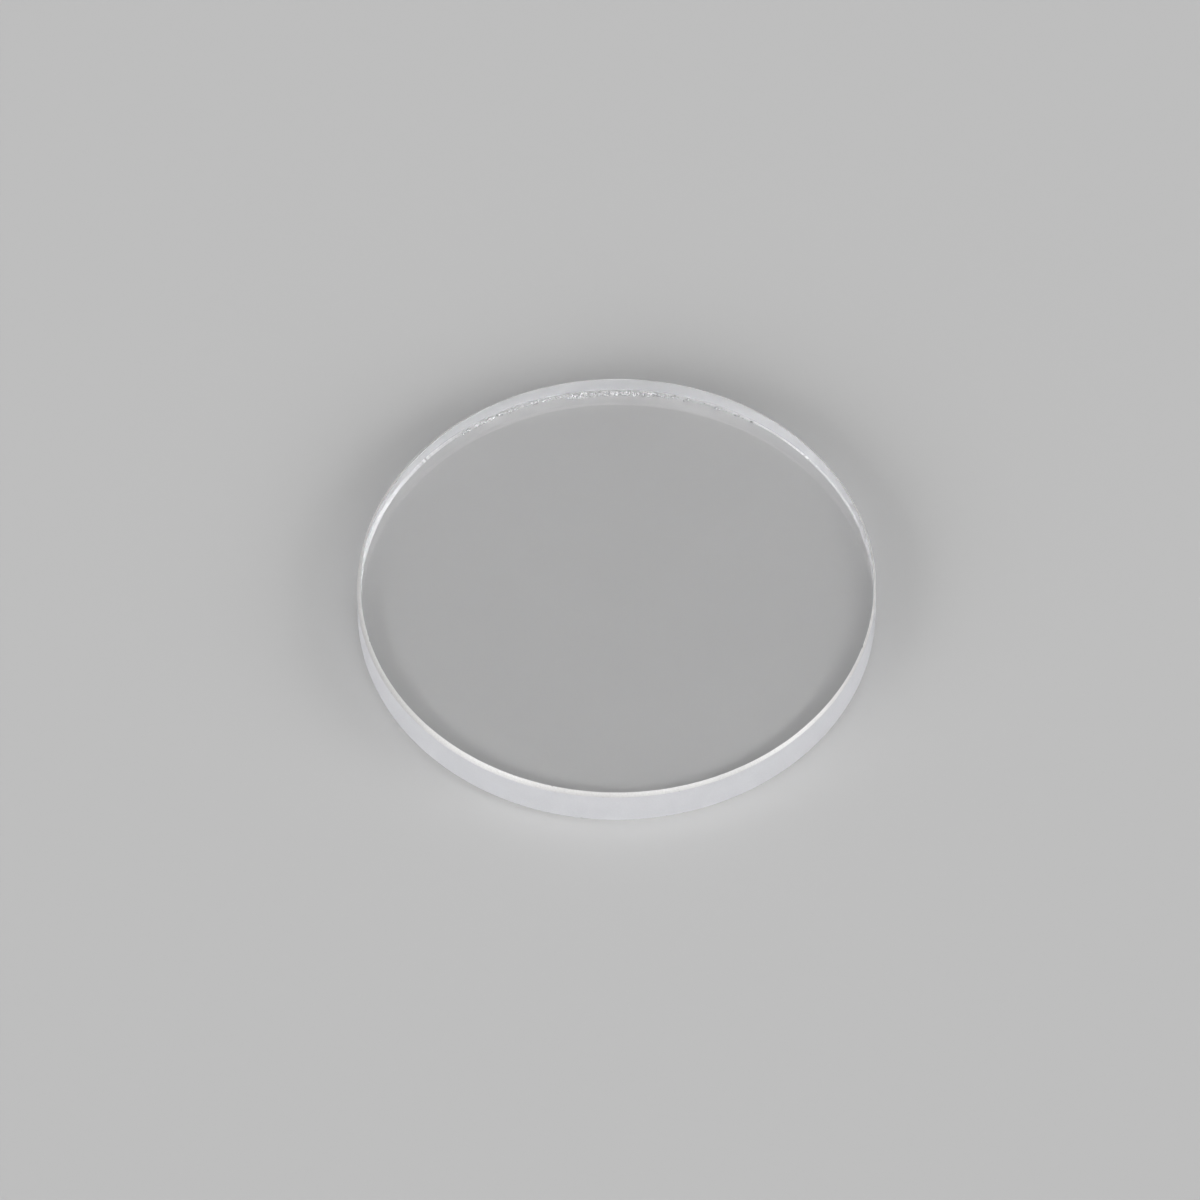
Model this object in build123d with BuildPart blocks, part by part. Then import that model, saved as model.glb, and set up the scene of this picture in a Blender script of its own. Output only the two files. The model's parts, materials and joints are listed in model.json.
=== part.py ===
from build123d import *

import os

# Flat round watch crystal: one plane-parallel disc of clear synthetic sapphire.
#
# It is a single piece. Both flat faces are polished, the wall is ground matt to
# the diameter that the bezel takes, and a narrow bevel, the arris, is ground
# round each face so that the sharp edges don't chip.
#
# Sizes are in millimetres. The origin is the centre of the seat face, the
# underside that rests on the ledge in the watch case, and +Z points out of the
# watch, towards its reader. A round disc has no front or side of its own.

# Disc, as a watchmaker orders it: the diameter over the wall, and the thickness
outer_diameter = 34.5
thickness = 3.0

# Arris round the outer face: its width across the face, and its depth down the wall
outer_arris_width = 0.2
outer_arris_depth = 0.2

# Arris round the seat face: its width across the face, and its depth up the wall
seat_arris_width = 0.2
seat_arris_depth = 0.2

wall_radius = outer_diameter / 2

# Half of the disc's section, from its axis out to the wall, turned once about the axis
with BuildPart() as crystal:
    with BuildSketch(Plane.XZ) as half_section:
        with BuildLine() as outline:
            Polyline(
                (0, 0),
                (wall_radius - seat_arris_width, 0),
                (wall_radius, seat_arris_depth),
                (wall_radius, thickness - outer_arris_depth),
                (wall_radius - outer_arris_width, thickness),
                (0, thickness),
                close=True,
            )
        make_face()
    revolve(axis=Axis.Z)

crystal.part.label = "crystal"

os.makedirs("parts", exist_ok=True)
export_step(crystal.part, "parts/crystal.step")
print(f"crystal: {len(crystal.part.solids())} solid, {crystal.part.volume:.1f} cubic mm")
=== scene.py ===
"""Studio picture of a flat round watch crystal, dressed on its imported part.

The crystal is one disc of colourless synthetic sapphire. Its two faces are
polished, and its wall and the arris round each face are ground matt, with the
tiny chips that grinding leaves where an arris meets a face.

Lengths are in metres, angles in degrees unless a name says otherwise, and +Z
points out of the watch. Angles round the disc run from +X towards +Y, and the
camera looks along +Y, so 90 is the far side and 270 the near side.
"""

import json
import logging
import math
import random
from dataclasses import dataclass, field, replace
from enum import Enum

import bpy
from mathutils import Matrix, Vector, noise


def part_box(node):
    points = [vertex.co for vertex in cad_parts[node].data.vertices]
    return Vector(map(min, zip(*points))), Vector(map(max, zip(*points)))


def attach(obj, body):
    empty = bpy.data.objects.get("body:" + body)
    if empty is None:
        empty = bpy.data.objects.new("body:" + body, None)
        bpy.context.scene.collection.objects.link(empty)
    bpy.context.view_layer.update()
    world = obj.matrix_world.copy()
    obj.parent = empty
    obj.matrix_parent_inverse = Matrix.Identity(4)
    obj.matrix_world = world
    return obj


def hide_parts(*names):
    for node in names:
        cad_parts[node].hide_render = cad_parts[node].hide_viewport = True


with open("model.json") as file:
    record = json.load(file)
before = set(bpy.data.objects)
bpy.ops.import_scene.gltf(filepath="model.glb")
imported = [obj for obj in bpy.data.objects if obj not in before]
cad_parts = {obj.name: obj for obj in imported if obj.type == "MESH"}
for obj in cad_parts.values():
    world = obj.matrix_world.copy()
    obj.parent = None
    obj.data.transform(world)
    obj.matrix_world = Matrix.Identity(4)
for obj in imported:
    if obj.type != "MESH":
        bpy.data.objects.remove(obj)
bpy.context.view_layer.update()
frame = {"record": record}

log = logging.getLogger("crystal")

MM = 0.001
NODE = "crystal"
BODY = "root"

# The middle values of a noise, between which most of it stays.
NOISE_MIDDLE = (0.3, 0.7)
# The least Z, up or down, of a flat face's normal.
FLAT_TILT = 0.9
# The greatest Z, up or down, of the normal of a face of the wall.
WALL_TILT = 0.3
# The least dot product of two directions from the axis that count as the same.
SAME_WAY = 0.9999999
# The share of a size by which a vertex may be off and still count as on its line.
NEAR_SHARE = 0.01
# How a break leans, in degrees: halfway between an arris and the face or wall beside it.
BREAK_LEAN = 22.5


class Zone(Enum):
    """The finishes on the disc, with the material slot that each one has."""

    POLISHED = 0
    GROUND = 1
    SEAT_ARRIS = 2
    OUTER_ARRIS = 3
    CHIPPED = 4


class Side(Enum):
    """The two faces of the disc, with the way that each one looks along Z."""

    OUTER = 1
    SEAT = -1


class Edge(Enum):
    """The two edges of an arris: where it meets the face, and where it meets the wall."""

    FACE = "face"
    WALL = "wall"


class MeshPart(Enum):
    """The parts of a mesh that edit mode selects, by Blender's names for them."""

    EDGE = "EDGE"
    FACE = "FACE"


def deselect_all() -> None:
    """Leave nothing selected, so that the next operator acts on its own piece."""
    bpy.ops.object.select_all(action="DESELECT")


def make_active(piece: bpy.types.Object) -> None:
    """Select one object alone and make it the one that operators act on.

    Args:
        piece: The object to work on next.
    """
    deselect_all()
    piece.select_set(True)
    bpy.context.view_layer.objects.active = piece


def apply_modifier(piece: bpy.types.Object, name: str) -> None:
    """Apply one modifier of a piece to its mesh.

    Args:
        piece: The object that holds the modifier.
        name: The modifier's name.
    """
    make_active(piece)
    bpy.ops.object.modifier_apply(modifier=name)


def round_the_disc(angle: float) -> Vector:
    """Give the direction from the axis at one angle.

    Args:
        angle: The angle round the disc, in degrees.

    Returns:
        A level direction of length 1.
    """
    turn = math.radians(angle)
    return Vector((math.cos(turn), math.sin(turn), 0.0))


@dataclass(frozen=True)
class MarkNodes:
    """The node tree of one material, with the few kinds of node that its marks are made of."""

    tree: bpy.types.NodeTree

    def noise(
        self, place: bpy.types.NodeSocket, size: float, detail: float, one_way: bool = False
    ) -> bpy.types.NodeSocket:
        """Add a noise.

        Args:
            place: The place that the noise follows, or the height where it follows one way only.
            size: The size of its largest spots.
            detail: How many finer layers it has.
            one_way: Whether it changes one way only.

        Returns:
            The socket that gives the noise.
        """
        node = self.tree.nodes.new("ShaderNodeTexNoise")
        node.noise_dimensions = "1D" if one_way else "3D"
        node.inputs["Scale"].default_value = 1 / size
        node.inputs["Detail"].default_value = detail
        self.tree.links.new(place, node.inputs["W" if one_way else "Vector"])
        return node.outputs["Fac"]

    def bump(
        self, relief: bpy.types.NodeSocket, depth: float, under: bpy.types.NodeSocket | None = None
    ) -> bpy.types.NodeSocket:
        """Turn a noise into relief.

        Args:
            relief: The noise.
            depth: How deep the relief is.
            under: The relief that it lies on, if any.

        Returns:
            The socket that gives the normal.
        """
        node = self.tree.nodes.new("ShaderNodeBump")
        node.inputs["Distance"].default_value = depth
        self.tree.links.new(relief, node.inputs["Height"])
        if under is not None:
            self.tree.links.new(under, node.inputs["Normal"])
        return node.outputs["Normal"]

    def spread(
        self,
        source: bpy.types.NodeSocket,
        low: float,
        high: float,
        between: tuple[float, float] = NOISE_MIDDLE,
    ) -> bpy.types.NodeSocket:
        """Spread the middle values of a noise, or of a height, over a range of their own.

        Args:
            source: The noise or the height.
            low: The value where the source is low.
            high: The value where the source is high.
            between: The two values of the source between which the result changes.

        Returns:
            The socket that gives the value.
        """
        node = self.tree.nodes.new("ShaderNodeMapRange")
        settings = {"From Min": between[0], "From Max": between[1], "To Min": low, "To Max": high}
        for name, value in settings.items():
            node.inputs[name].default_value = value
        self.tree.links.new(source, node.inputs["Value"])
        return node.outputs["Result"]

    def product(self, first: bpy.types.NodeSocket, second: bpy.types.NodeSocket) -> bpy.types.NodeSocket:
        """Multiply two values.

        Args:
            first: One value.
            second: The other.

        Returns:
            The socket that gives their product.
        """
        node = self.tree.nodes.new("ShaderNodeMath")
        node.operation = "MULTIPLY"
        self.tree.links.new(first, node.inputs[0])
        self.tree.links.new(second, node.inputs[1])
        return node.outputs["Value"]

    def tinted(self, color: tuple[float, ...], tone: bpy.types.NodeSocket) -> bpy.types.NodeSocket:
        """Scale a colour by a tone.

        Args:
            color: The colour where the tone is 1.
            tone: The tone, from dark at 0.

        Returns:
            The socket that gives the colour.
        """
        node = self.tree.nodes.new("ShaderNodeVectorMath")
        node.operation = "SCALE"
        node.inputs[0].default_value = color[:3]
        self.tree.links.new(tone, node.inputs["Scale"])
        return node.outputs["Vector"]


@dataclass(frozen=True)
class SapphireFinish:
    """One clear finish on sapphire: polished, or the smooth shells inside a chip."""

    name: str
    roughness: float
    transmission: float = 1.0
    ior: float = 1.77
    color: tuple[float, float, float, float] = (1.0, 1.0, 1.0, 1.0)

    def material(self) -> bpy.types.Material:
        """Build the material.

        Returns:
            A node material with one Principled shader.
        """
        material = bpy.data.materials.new(self.name)
        material.use_nodes = True
        shader = material.node_tree.nodes["Principled BSDF"]
        shader.inputs["Base Color"].default_value = self.color
        shader.inputs["IOR"].default_value = self.ior
        shader.inputs["Transmission Weight"].default_value = self.transmission
        shader.inputs["Roughness"].default_value = self.roughness
        self.add_marks(material.node_tree, shader)
        return material

    def add_marks(self, tree: bpy.types.NodeTree, shader: bpy.types.Node) -> None:
        """Add nothing: a clear finish bears no marks of its own."""


@dataclass(frozen=True)
class GroundFinish(SapphireFinish):
    """The matt finish off a diamond wheel: pits, faint wheel lines and cloudy patches.

    A shade is the share of the tone that its noise takes away where it is lowest.
    The tone may also darken downwards with painted shade, from the upper of its two
    heights above the seat face to its own share at the lower one.
    """

    pit_size: float = 0.12 * MM
    pit_depth: float = 0.010 * MM
    pit_detail: float = 3.0
    line_pitch: float = 0.08 * MM
    line_depth: float = 0.002 * MM
    line_detail: float = 2.0
    cloud_size: float = 1.5 * MM
    cloud_detail: float = 4.0
    cloud_swing: float = 0.05
    cloud_shade: float = 0.06
    grain_shade: float = 0.05
    painted_shade_heights: tuple[float, float] | None = None
    painted_shade_tone: float = 1.0

    def add_marks(self, tree: bpy.types.NodeTree, shader: bpy.types.Node) -> None:
        """Give the shader its pits and wheel lines, let its roughness and tone drift, and paint shade
        downwards where asked.

        Args:
            tree: The material's node tree.
            shader: The shader that takes the marks.
        """
        marks = MarkNodes(tree)
        place = tree.nodes.new("ShaderNodeTexCoord").outputs["Object"]
        split = tree.nodes.new("ShaderNodeSeparateXYZ")
        tree.links.new(place, split.inputs["Vector"])
        height = split.outputs["Z"]

        pits = marks.noise(place, self.pit_size, self.pit_detail)
        lines = marks.noise(height, self.line_pitch, self.line_detail, one_way=True)
        relief = marks.bump(lines, self.line_depth, under=marks.bump(pits, self.pit_depth))
        tree.links.new(relief, shader.inputs["Normal"])

        clouds = marks.noise(place, self.cloud_size, self.cloud_detail)
        smoother = self.roughness - self.cloud_swing
        rougher = self.roughness + self.cloud_swing
        tree.links.new(marks.spread(clouds, smoother, rougher), shader.inputs["Roughness"])

        tone = marks.product(
            marks.spread(clouds, 1.0 - self.cloud_shade, 1.0),
            marks.spread(pits, 1.0 - self.grain_shade, 1.0),
        )
        # Painted shade: the tone darkens downwards between the two heights.
        if self.painted_shade_heights:
            tone = marks.product(tone, marks.spread(height, self.painted_shade_tone, 1.0, self.painted_shade_heights))
        tree.links.new(marks.tinted(self.color, tone), shader.inputs["Base Color"])


SEAT_ARRIS_FINISH = GroundFinish(
    "sapphire_seat_arris",
    roughness=0.35,
    transmission=0.65,
    pit_size=0.09 * MM,
    pit_depth=0.0007 * MM,
    line_depth=0.0003 * MM,
    cloud_swing=0.03,
    cloud_shade=0.04,
    grain_shade=0.18,
)

FINISHES = {
    Zone.POLISHED: SapphireFinish("sapphire_polished", roughness=0.0),
    Zone.GROUND: GroundFinish(
        "sapphire_ground",
        roughness=0.6,
        transmission=0.78,
        color=(0.96, 0.965, 1.0, 1.0),
    ),
    Zone.SEAT_ARRIS: SEAT_ARRIS_FINISH,
    Zone.OUTER_ARRIS: replace(
        SEAT_ARRIS_FINISH,
        name="sapphire_outer_arris",
        color=(1.0, 0.99, 0.975, 1.0),
        grain_shade=0.20,
        # Painted shade: the outer arris darkens downwards, towards the wall.
        painted_shade_heights=(2.76 * MM, 2.91 * MM),
        painted_shade_tone=0.77,
    ),
    Zone.CHIPPED: SapphireFinish("sapphire_chipped", roughness=0.08),
}


@dataclass(frozen=True)
class Wave:
    """One noise in the width of an arris: how closely it varies, where it starts, and its share."""

    closeness: float
    start: float
    share: float


@dataclass(frozen=True)
class Arris:
    """How wide one arris is round the disc: wider on the side that met the wheel first.

    The lean is how much the width grows towards +X and towards +Y, and the waver is how
    far the waves carry it either way.
    """

    side: Side
    width: float
    lean: tuple[float, float]
    waver: float
    waves: tuple[Wave, ...] = (
        Wave(closeness=3.0, start=5.0, share=0.7),
        Wave(closeness=60.0, start=9.0, share=0.5),
    )

    def width_at(self, way: Vector) -> float:
        """Give the arris's width, across the face and down the wall alike.

        Args:
            way: The direction of the spot from the axis, of length 1.

        Returns:
            The width there.
        """
        uneven = 0.0
        for wave in self.waves:
            spot = Vector((way.x * wave.closeness, way.y * wave.closeness, self.side.value * wave.start))
            uneven += wave.share * noise.noise(spot)
        even = self.width + self.lean[0] * way.x + self.lean[1] * way.y
        return even + self.waver * uneven


@dataclass(frozen=True)
class ChipRun:
    """A stretch of one edge with chips broken from it.

    The stretch runs between two angles round the disc, the sizes are the least and the
    greatest radius of a chip, and flat is the share of its radius that a chip is deep.
    """

    side: Side
    edge: Edge
    start: float
    end: float
    count: int
    sizes: tuple[float, float]
    flat: float = 0.5

    @classmethod
    def nick(cls, side: Side, edge: Edge, angle: float, size: float) -> "ChipRun":
        """Give the run that is one larger chip of its own."""
        return cls(side, edge, angle, angle, 1, (size, size))


# The first four runs are the many tiny chips of grinding.
CHIP_RUNS = (
    ChipRun(Side.SEAT, Edge.FACE, start=142, end=408, count=60, sizes=(0.02 * MM, 0.06 * MM)),
    ChipRun(Side.OUTER, Edge.FACE, start=0, end=360, count=70, sizes=(0.015 * MM, 0.045 * MM)),
    ChipRun(Side.SEAT, Edge.WALL, start=0, end=360, count=30, sizes=(0.015 * MM, 0.04 * MM)),
    ChipRun(Side.OUTER, Edge.WALL, start=0, end=360, count=16, sizes=(0.015 * MM, 0.03 * MM)),
    ChipRun.nick(Side.SEAT, Edge.WALL, 18.5, 0.16 * MM),
    ChipRun.nick(Side.OUTER, Edge.FACE, 88, 0.10 * MM),
    ChipRun.nick(Side.OUTER, Edge.FACE, 195.4, 0.09 * MM),
    ChipRun.nick(Side.OUTER, Edge.FACE, 341.8, 0.09 * MM),
    ChipRun.nick(Side.OUTER, Edge.FACE, 255.2, 0.06 * MM),
    ChipRun.nick(Side.SEAT, Edge.WALL, 261.9, 0.07 * MM),
    ChipRun.nick(Side.SEAT, Edge.WALL, 280.5, 0.07 * MM),
)


@dataclass(frozen=True)
class CrumbledEdge:
    """The stretch where the seat face has crumbled along its arris, in small tilted facets.

    Each stop is an angle round the disc, how far the facets reach in over the face
    there, and the share of the edge that is still whole between them.

    The facets are the cells of a pattern, and each has a luck of its own, from 0 to 1,
    which a second pattern of another scale gives. The luck says whether the facet has
    broken off, how far in it may lie, how deep it is and which way it tilts: over its
    whole range, the tilt turns by the spin, in degrees. The depth is that of the
    luckiest facet at its middle, and the unluckiest has the least share of it.
    """

    stops: tuple[tuple[float, float, float], ...] = (
        (56, 0.0, 1.0),
        (60, 0.08 * MM, 0.8),
        (73, 0.12 * MM, 0.75),
        (75, 0.24 * MM, 0.65),
        (81, 0.28 * MM, 0.55),
        (82, 0.36 * MM, 0.06),
        (100, 0.38 * MM, 0.06),
        (101, 0.20 * MM, 0.5),
        (104, 0.09 * MM, 0.3),
        (122, 0.09 * MM, 0.3),
        (129, 0.0, 1.0),
    )
    facet: float = 0.11 * MM
    depth: float = 0.06 * MM
    over_arris: float = 0.04 * MM
    luck_scale: float = 7.31
    spin: float = 36000.0
    ragged: float = 0.4
    least_depth: float = 0.3
    slope: float = 1.4

    def at(self, angle: float) -> tuple[float, float]:
        """Give how far the facets reach in at one angle, and the share of the edge that is whole.

        Args:
            angle: The angle round the disc.

        Returns:
            The reach and the share, 0 and 1 beyond the last stops.
        """
        for (start, reach, whole), (end, next_reach, next_whole) in zip(self.stops, self.stops[1:]):
            if start <= angle <= end:
                way = (angle - start) / (end - start)
                return reach + (next_reach - reach) * way, whole + (next_whole - whole) * way
        return 0.0, 1.0

    def depth_at(self, angle: float, along: float, inward: float) -> float:
        """Give how deep the edge has broken away at one spot.

        Args:
            angle: The angle round the disc.
            along: The distance round the edge.
            inward: The distance in over the face, less than 0 on the arris.

        Returns:
            The depth of the facet there, 0 where the surface is whole.
        """
        spot = Vector((along, inward, 0.0)) / self.facet
        middle = noise.voronoi(spot)[1][0]
        luck = 0.5 + 0.5 * noise.cell(middle * self.luck_scale)
        tilt = (spot - middle).dot(round_the_disc(self.spin * luck))
        reach, whole = self.at(angle)
        farthest = reach * (1 - self.ragged + self.ragged * luck)
        if luck < whole or not -self.over_arris < middle.y * self.facet < farthest:
            return 0.0
        even_depth = self.least_depth + (1 - self.least_depth) * luck
        return self.depth * max(0.0, even_depth + self.slope * tilt)


@dataclass(frozen=True)
class ChipChance:
    """The lumpy shapes that chips are cut with, and the ranges that chance draws each chip from.

    The place is where a chip lies in its own length of edge, the stretch is how much
    longer it is one way, and the lift is how far its middle stands out, as a share of
    its depth. The spacing keeps two chips apart, as a share of their sizes.
    """

    shapes: int = 3
    lumps: float = 0.22 * MM
    lump_evenness: float = 0.3
    lump_outward: float = 0.6
    place: tuple[float, float] = (0.1, 0.9)
    stretch: tuple[float, float] = (0.8, 1.3)
    lift: tuple[float, float] = (0.1, 0.6)
    spacing: float = 1.5
    seed: int = 11


@dataclass
class SapphireDisc:
    """The disc: a turned blank with ground arrises, uneven edges and chips.

    The border is the width of the band just inside each arris, which takes up its
    unevenness. The margins say how far past the crumbled stretch a vertex may lie and
    still be divided: in degrees round the disc, and as a share of the arris.
    """

    radius: float
    thickness: float
    arris: float
    arrises: dict[Side, Arris]
    chip_runs: tuple[ChipRun, ...] = CHIP_RUNS
    crumbled: CrumbledEdge = CrumbledEdge()
    chance: ChipChance = ChipChance()
    segments: int = 1440
    border: float = 0.45 * MM
    edge_cuts: int = 3
    end_margin: float = 1.0
    low_margin: float = 0.1
    smooth_angle: float = 30.0
    piece: bpy.types.Object | None = None
    chip_shapes: list[bpy.types.Object] = field(default_factory=list)
    chipped_spots: list[tuple[Vector, float]] = field(default_factory=list)

    def build(self) -> bpy.types.Object:
        """Model and finish the disc.

        Returns:
            The finished piece, in place on its body.
        """
        self.add_blank()
        self.grind_arrises()
        self.divide_crumbled_edge()
        self.uneven_edges()
        self.dress()
        self.break_chips()
        self.crumble()
        self.shade()
        return self.piece

    def add_blank(self) -> None:
        """Add the plain round blank, seat face at the origin."""
        deselect_all()
        bpy.ops.mesh.primitive_cylinder_add(
            vertices=self.segments,
            radius=self.radius,
            depth=self.thickness,
            end_fill_type="NGON",
            location=(0, 0, self.thickness / 2),
        )
        self.piece = bpy.context.object
        self.piece.name = self.piece.data.name = "sapphire_disc"
        bpy.ops.object.transform_apply(location=True, rotation=True, scale=True)

    def start_selection(self, part: MeshPart) -> None:
        """Select nothing on the piece, so that code can select some of its edges or faces.

        Args:
            part: Which of the two comes next.
        """
        make_active(self.piece)
        bpy.ops.object.mode_set(mode="EDIT")
        bpy.ops.mesh.select_mode(type=part.value)
        bpy.ops.mesh.select_all(action="DESELECT")
        bpy.ops.object.mode_set(mode="OBJECT")

    def select_flat_faces(self) -> None:
        """Select the seat face and the outer face, and go on in edit mode."""
        self.start_selection(MeshPart.FACE)
        for face in self.piece.data.polygons:
            face.select = abs(face.normal.z) > FLAT_TILT
        bpy.ops.object.mode_set(mode="EDIT")

    def grind_arrises(self) -> None:
        """Bevel both rims, and draw a border inside each polished face."""
        self.select_flat_faces()
        bpy.ops.mesh.bevel(offset=self.arris, offset_type="OFFSET", segments=1, affect="EDGES")
        bpy.ops.object.mode_set(mode="OBJECT")
        self.select_flat_faces()
        bpy.ops.mesh.inset(thickness=self.border)
        bpy.ops.object.mode_set(mode="OBJECT")

    def divide_selected(self) -> None:
        """Divide what is selected into small faces."""
        bpy.ops.object.mode_set(mode="EDIT")
        bpy.ops.mesh.subdivide(number_cuts=self.edge_cuts)
        bpy.ops.object.mode_set(mode="OBJECT")

    def divide_crumbled_edge(self) -> None:
        """Divide the crumbled stretch into small faces: first across the edge, then both ways."""
        mesh = self.piece.data
        self.start_selection(MeshPart.EDGE)
        for edge in mesh.edges:
            ends = [mesh.vertices[number].co for number in edge.vertices]
            across = ends[0].to_2d().normalized().dot(ends[1].to_2d().normalized()) > SAME_WAY
            edge.select = across and all(self.in_crumbled_stretch(end) for end in ends)
        self.divide_selected()
        self.start_selection(MeshPart.FACE)
        for face in mesh.polygons:
            face.select = all(self.in_crumbled_stretch(mesh.vertices[n].co) for n in face.vertices)
        self.divide_selected()

    def in_crumbled_stretch(self, spot: Vector) -> bool:
        """Tell whether a point of the blank is on the stretch of the seat edge that has crumbled.

        Args:
            spot: The point.

        Returns:
            Whether it lies on the seat arris or just inside it, between the first stop and the last.
        """
        angle = math.degrees(math.atan2(spot.y, spot.x))
        start, end = self.crumbled.stops[0][0], self.crumbled.stops[-1][0]
        inner = self.radius - self.arris - self.border
        low = spot.z < self.arris * (1 + self.low_margin)
        between = start - self.end_margin < angle < end + self.end_margin
        return low and between and spot.to_2d().length > inner - self.low_margin * self.arris

    def uneven_edges(self) -> None:
        """Move the edges of each arris to where its own width puts them, and what lies between."""
        for vertex in self.piece.data.vertices:
            x, y, z = vertex.co
            way = Vector((x, y, 0)).normalized()
            side = Side.OUTER if z > self.thickness / 2 else Side.SEAT
            share = self.arrises[side].width_at(way) / self.arris
            inward = self.radius - math.hypot(x, y)
            height = self.thickness - z if side is Side.OUTER else z
            if inward < self.arris * (1 + NEAR_SHARE):
                vertex.co.x, vertex.co.y = (way * (self.radius - inward * share)).xy
                height *= share
                vertex.co.z = self.thickness - height if side is Side.OUTER else height
            elif inward < self.arris + self.border * (1 - NEAR_SHARE):
                spread = (inward - self.arris) / self.border
                inward = self.arris * share + spread * (self.arris * (1 - share) + self.border)
                vertex.co.x, vertex.co.y = (way * (self.radius - inward)).xy

    def dress(self) -> None:
        """Give each face of the mesh its finish: polished faces, ground wall and arrises."""
        mesh = self.piece.data
        mesh.materials.clear()
        for zone in Zone:
            mesh.materials.append(FINISHES[zone].material())
        for face in mesh.polygons:
            tilt = face.normal.z
            if abs(tilt) > FLAT_TILT:
                zone = Zone.POLISHED
            elif abs(tilt) < WALL_TILT:
                zone = Zone.GROUND
            else:
                zone = Zone.OUTER_ARRIS if tilt > 0 else Zone.SEAT_ARRIS
            face.material_index = zone.value

    def crumble(self) -> None:
        """Press the facets of the crumbled stretch into the seat edge."""
        mesh = self.piece.data
        lean = math.radians(BREAK_LEAN)
        gone: set[int] = set()
        for vertex in mesh.vertices:
            if not self.in_crumbled_stretch(vertex.co):
                continue
            way = Vector((vertex.co.x, vertex.co.y, 0)).normalized()
            turn = math.atan2(way.y, way.x)
            inward = self.radius - self.arrises[Side.SEAT].width_at(way) - vertex.co.to_2d().length
            depth = self.crumbled.depth_at(math.degrees(turn), turn * self.radius, inward)
            if depth > 0:
                vertex.co += depth * (Vector((0, 0, math.cos(lean))) - way * math.sin(lean))
                gone.add(vertex.index)
        for face in mesh.polygons:
            # The large flat face beside the stretch has more corners, and stays polished.
            divided = len(face.vertices) == 4
            if divided and gone.intersection(face.vertices):
                face.material_index = Zone.CHIPPED.value

    def model_chip_shapes(self) -> None:
        """Model the few lumpy shapes that every chip is a copy of."""
        for number in range(self.chance.shapes):
            deselect_all()
            bpy.ops.mesh.primitive_ico_sphere_add(subdivisions=2, radius=MM)
            shape = bpy.context.object
            shape.name = shape.data.name = f"chip_shape_{number}"
            bpy.ops.object.mode_set(mode="EDIT")
            bpy.ops.transform.vertex_random(
                offset=self.chance.lumps,
                uniform=self.chance.lump_evenness,
                normal=self.chance.lump_outward,
                seed=number + 1,
            )
            bpy.ops.object.mode_set(mode="OBJECT")
            shape.data.materials.append(self.piece.data.materials[Zone.CHIPPED.value])
            self.chip_shapes.append(shape)

    def place_chip(self, run: ChipRun, number: int, rng: random.Random) -> bpy.types.Object | None:
        """Copy a chip shape to its place on an edge.

        Args:
            run: The stretch of edge that the chip breaks.
            number: Which of the run's chips it is, each of which has its own length of edge.
            rng: The source of chance.

        Returns:
            The copy, with its own mesh in place, or None where another chip is too near.
        """
        chance = self.chance
        share = (number + rng.uniform(*chance.place)) / run.count
        way = round_the_disc(run.start + (run.end - run.start) * share)
        size = run.sizes[0] * (run.sizes[1] / run.sizes[0]) ** rng.random()
        width = self.arrises[run.side].width_at(way)
        face_height = self.thickness if run.side is Side.OUTER else 0.0
        upward = Vector((0, 0, run.side.value))
        lean = math.radians(BREAK_LEAN)
        if run.edge is Edge.FACE:
            spot = way * (self.radius - width)
            spot.z = face_height
            outward = way * math.sin(lean) + upward * math.cos(lean)
        else:
            spot = way * self.radius
            spot.z = face_height - run.side.value * width
            outward = way * math.cos(lean) + upward * math.sin(lean)
        for other, reach in self.chipped_spots:
            if (spot - other).length < chance.spacing * (size + reach):
                return None
        self.chipped_spots.append((spot, size))
        shape = rng.choice(self.chip_shapes)
        chip = bpy.data.objects.new("chip", shape.data.copy())
        bpy.context.scene.collection.objects.link(chip)
        turn = outward.to_track_quat("Z", "Y").to_matrix().to_4x4()
        turn @= Matrix.Rotation(rng.uniform(0, math.tau), 4, "Z")
        times = size / MM
        grow = Matrix.Diagonal((times * rng.uniform(*chance.stretch), times, times * run.flat, 1.0))
        lift = outward * size * run.flat * rng.uniform(*chance.lift)
        chip.data.transform(Matrix.Translation(spot + lift) @ turn @ grow)
        return chip

    def break_chips(self) -> None:
        """Cut every chip out of the disc in one go."""
        self.model_chip_shapes()
        rng = random.Random(self.chance.seed)
        chips = [self.place_chip(run, number, rng) for run in self.chip_runs for number in range(run.count)]
        chips = [chip for chip in chips if chip]
        make_active(chips[0])
        for chip in chips:
            chip.select_set(True)
        bpy.ops.object.join()
        cutter = bpy.context.object
        cut = self.piece.modifiers.new("chips", "BOOLEAN")
        cut.operation = "DIFFERENCE"
        cut.solver = "EXACT"
        cut.material_mode = "TRANSFER"
        cut.object = cutter
        apply_modifier(self.piece, "chips")
        for spare in (cutter, *self.chip_shapes):
            bpy.data.objects.remove(spare)
        self.chip_shapes.clear()

    def shade(self) -> None:
        """Smooth the ground faces and the shells of the chips, and keep each border crisp."""
        mesh = self.piece.data
        make_active(self.piece)
        bpy.ops.object.shade_smooth_by_angle(angle=math.radians(self.smooth_angle))
        borders: dict[tuple[int, int], set[int]] = {}
        for face in mesh.polygons:
            if face.material_index == Zone.POLISHED.value:
                face.use_smooth = False
            for key in face.edge_keys:
                borders.setdefault(key, set()).add(face.material_index)
        for edge in mesh.edges:
            if len(borders.get(edge.key, ())) > 1:
                edge.use_edge_sharp = True


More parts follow.
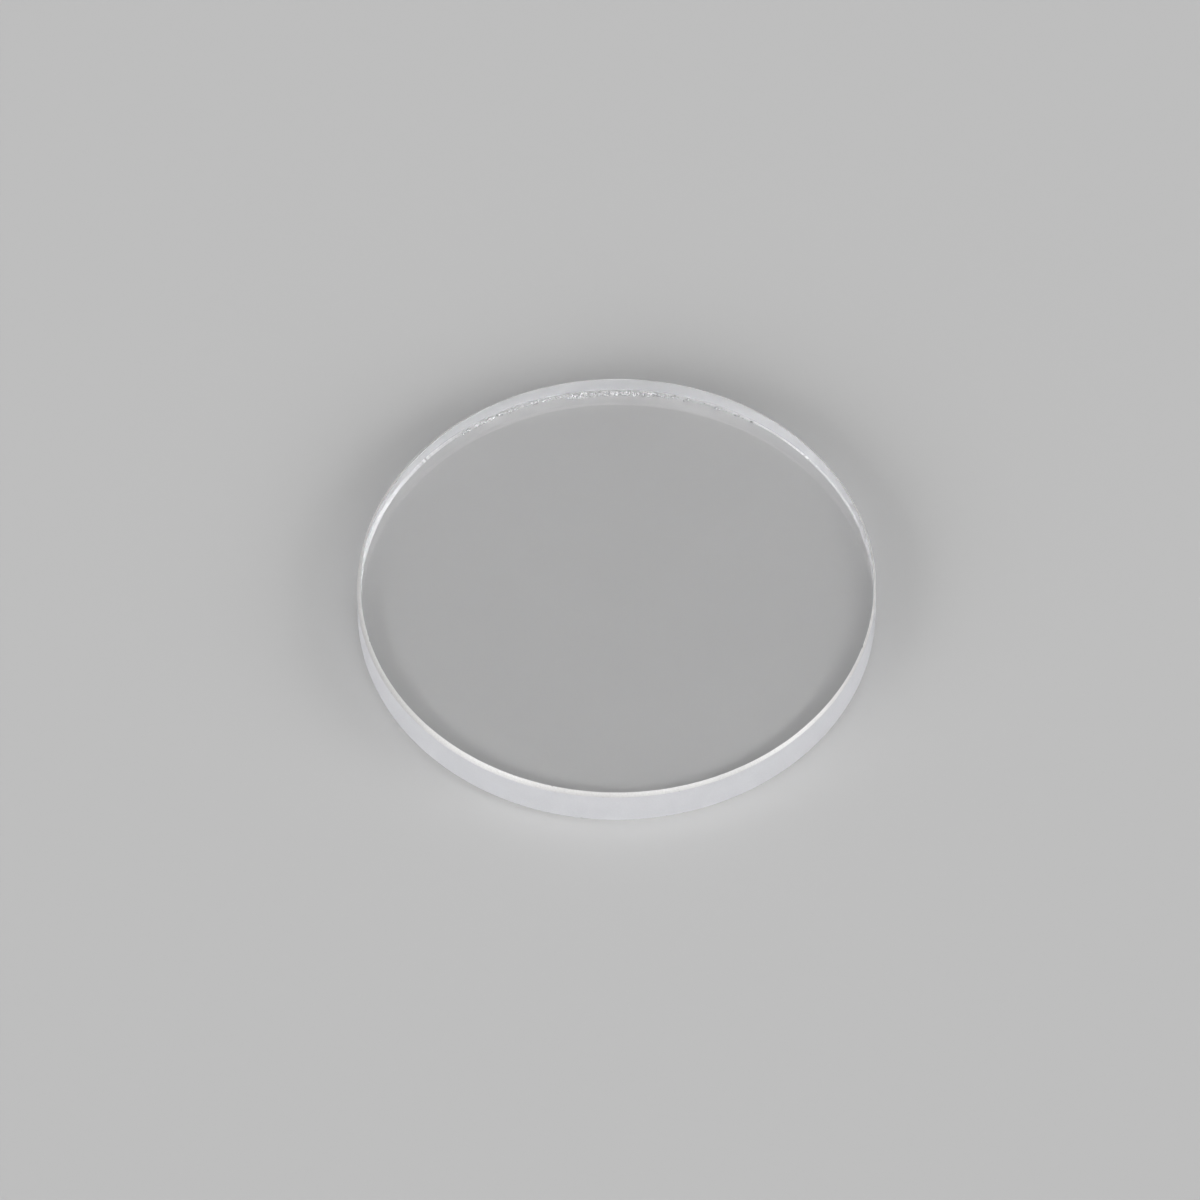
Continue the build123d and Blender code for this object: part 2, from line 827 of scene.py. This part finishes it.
@dataclass(frozen=True)
class SoftLamp:
    """One wide, far lamp: the side it shines from, its height, strength and apparent width."""

    name: str
    azimuth: float
    elevation: float
    strength: float
    spread: float = 40.0

    def build(self) -> None:
        """Add the lamp, which lights the whole floor evenly."""
        lamp = bpy.data.lights.new(self.name, "SUN")
        lamp.energy = self.strength
        lamp.angle = math.radians(self.spread)
        holder = bpy.data.objects.new(self.name, lamp)
        bpy.context.scene.collection.objects.link(holder)
        climb = math.radians(self.elevation)
        way = round_the_disc(self.azimuth) * math.cos(climb) + Vector((0, 0, math.sin(climb)))
        holder.location = way
        holder.rotation_mode = "QUATERNION"
        holder.rotation_quaternion = way.to_track_quat("Z", "Y")


@dataclass
class Studio:
    """The pale floor, the soft lamps and the pale room round the crystal.

    Four strong lamps stand low to the left and right of the camera, where the ground
    rim gathers their light, and two weak ones stand higher. Seen from the camera's side,
    up to about 70 degrees high, the polished faces mirror only the room. Seen from the
    other side and below about 40 degrees, they mirror a strong lamp from most angles and
    can go white. Each stop of the room is a height, as the Z of a direction, and its
    brightness.
    """

    floor_gap: float = 0.02 * MM
    floor_size: float = 8.0
    floor_color: tuple[float, float, float, float] = (0.5, 0.5, 0.5, 1.0)
    floor_roughness: float = 0.9
    floor_gloss: float = 0.1
    room: tuple[tuple[float, float], ...] = ((0.0, 0.515), (0.7, 0.25))
    lamps: tuple[SoftLamp, ...] = (
        SoftLamp("lamp_left", 215, 22, 1.4),
        SoftLamp("lamp_front_left", 243, 20, 1.0),
        SoftLamp("lamp_front_right", 289, 20, 1.1),
        SoftLamp("lamp_right", 340, 22, 1.4, spread=34),
        SoftLamp("lamp_high_right", 308, 44, 0.4),
        SoftLamp("lamp_overhead", 270, 88, 0.25),
    )

    def build(self) -> None:
        """Make the floor, the lamps and the room."""
        deselect_all()
        bpy.ops.mesh.primitive_plane_add(size=self.floor_size, location=(0, 0, -self.floor_gap))
        floor = bpy.context.object
        floor.name = "floor"
        material = bpy.data.materials.new("pale_floor")
        material.use_nodes = True
        shader = material.node_tree.nodes["Principled BSDF"]
        shader.inputs["Base Color"].default_value = self.floor_color
        shader.inputs["Roughness"].default_value = self.floor_roughness
        shader.inputs["Specular IOR Level"].default_value = self.floor_gloss
        floor.data.materials.append(material)
        for lamp in self.lamps:
            lamp.build()
        self.add_room()

    def add_room(self) -> None:
        """Make the pale room: as light as the floor at the horizon, and darker overhead."""
        world = bpy.data.worlds.new("pale_room")
        bpy.context.scene.world = world
        world.use_nodes = True
        nodes, links = world.node_tree.nodes, world.node_tree.links
        place = nodes.new("ShaderNodeTexCoord")
        height = nodes.new("ShaderNodeSeparateXYZ")
        shade = nodes.new("ShaderNodeValToRGB")
        for stop, (position, level) in zip(shade.color_ramp.elements, self.room):
            stop.position = position
            stop.color = (level, level, level, 1.0)
        links.new(place.outputs["Generated"], height.inputs["Vector"])
        links.new(height.outputs["Z"], shade.inputs["Fac"])
        links.new(shade.outputs["Color"], nodes["Background"].inputs["Color"])


@dataclass(frozen=True)
class PhotoCamera:
    """The camera of the photograph, worked out from the disc's rim lines."""

    elevation: float = 53.738
    roll: float = -0.496
    distance: float = 0.79975
    image_px: float = 1200.0
    focal_px: float = 12000.0
    seat_centre_px: tuple[float, float] = (616.61, 610.38)
    sensor_mm: float = 36.0
    clip: tuple[float, float] = (0.01, 20.0)

    def build(self) -> bpy.types.Object:
        """Add the camera and make it the scene's own.

        Returns:
            The camera.
        """
        elevation, roll = math.radians(self.elevation), math.radians(self.roll)
        back = Vector((0, -math.cos(elevation), math.sin(elevation)))
        level = Vector((1, 0, 0))
        climb = Vector((0, math.sin(elevation), math.cos(elevation)))
        right = math.cos(roll) * level + math.sin(roll) * climb
        up = -math.sin(roll) * level + math.cos(roll) * climb
        per_px = self.distance / self.focal_px
        off_x = (self.seat_centre_px[0] - self.image_px / 2) * per_px
        off_y = (self.seat_centre_px[1] - self.image_px / 2) * per_px
        data = bpy.data.cameras.new("photo_camera")
        data.sensor_width = self.sensor_mm
        data.lens = self.sensor_mm * self.focal_px / self.image_px
        data.clip_start, data.clip_end = self.clip
        camera = bpy.data.objects.new("photo_camera", data)
        bpy.context.scene.collection.objects.link(camera)
        turn = Matrix((right, up, back)).transposed().to_4x4()
        camera.matrix_world = Matrix.Translation(back * self.distance - right * off_x + up * off_y) @ turn
        bpy.context.scene.camera = camera
        return camera


@dataclass(frozen=True)
class RenderSettings:
    """How often light may turn inside the disc, and the plain view of its colours."""

    bounces: int = 32
    glossy_bounces: int = 16
    glossy_blur: float = 0.0

    def apply(self) -> None:
        """Keep the colours as written, and let light pass through the disc many times."""
        scene = bpy.context.scene
        scene.view_settings.view_transform = "Standard"
        scene.cycles.max_bounces = self.bounces
        scene.cycles.transmission_bounces = self.bounces
        scene.cycles.glossy_bounces = self.glossy_bounces
        scene.cycles.blur_glossy = self.glossy_blur


def main() -> None:
    """Build the picture, piece by piece."""
    logging.basicConfig(level=logging.INFO, format="%(name)s: %(message)s")
    PhotoCamera().build()
    rim = next(mount for mount in frame["record"]["mounts"] if mount["name"] == "rim")
    low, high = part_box(NODE)
    thickness = high.z - low.z
    disc = SapphireDisc(
        radius=rim["dims"]["r_mm"] * MM,
        thickness=thickness,
        arris=(thickness - rim["dims"]["length_mm"] * MM) / 2,
        arrises={
            Side.OUTER: Arris(
                Side.OUTER,
                width=0.202 * MM,
                lean=(-0.057 * MM, -0.041 * MM),
                waver=0.015 * MM,
            ),
            Side.SEAT: Arris(
                Side.SEAT,
                width=0.191 * MM,
                lean=(-0.054 * MM, -0.052 * MM),
                waver=0.025 * MM,
            ),
        },
    )
    piece = disc.build()
    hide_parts(NODE)
    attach(piece, BODY)
    log.info("%s has %d faces", piece.name, len(piece.data.polygons))
    Studio().build()
    RenderSettings().apply()


if __name__ == "__main__":
    main()
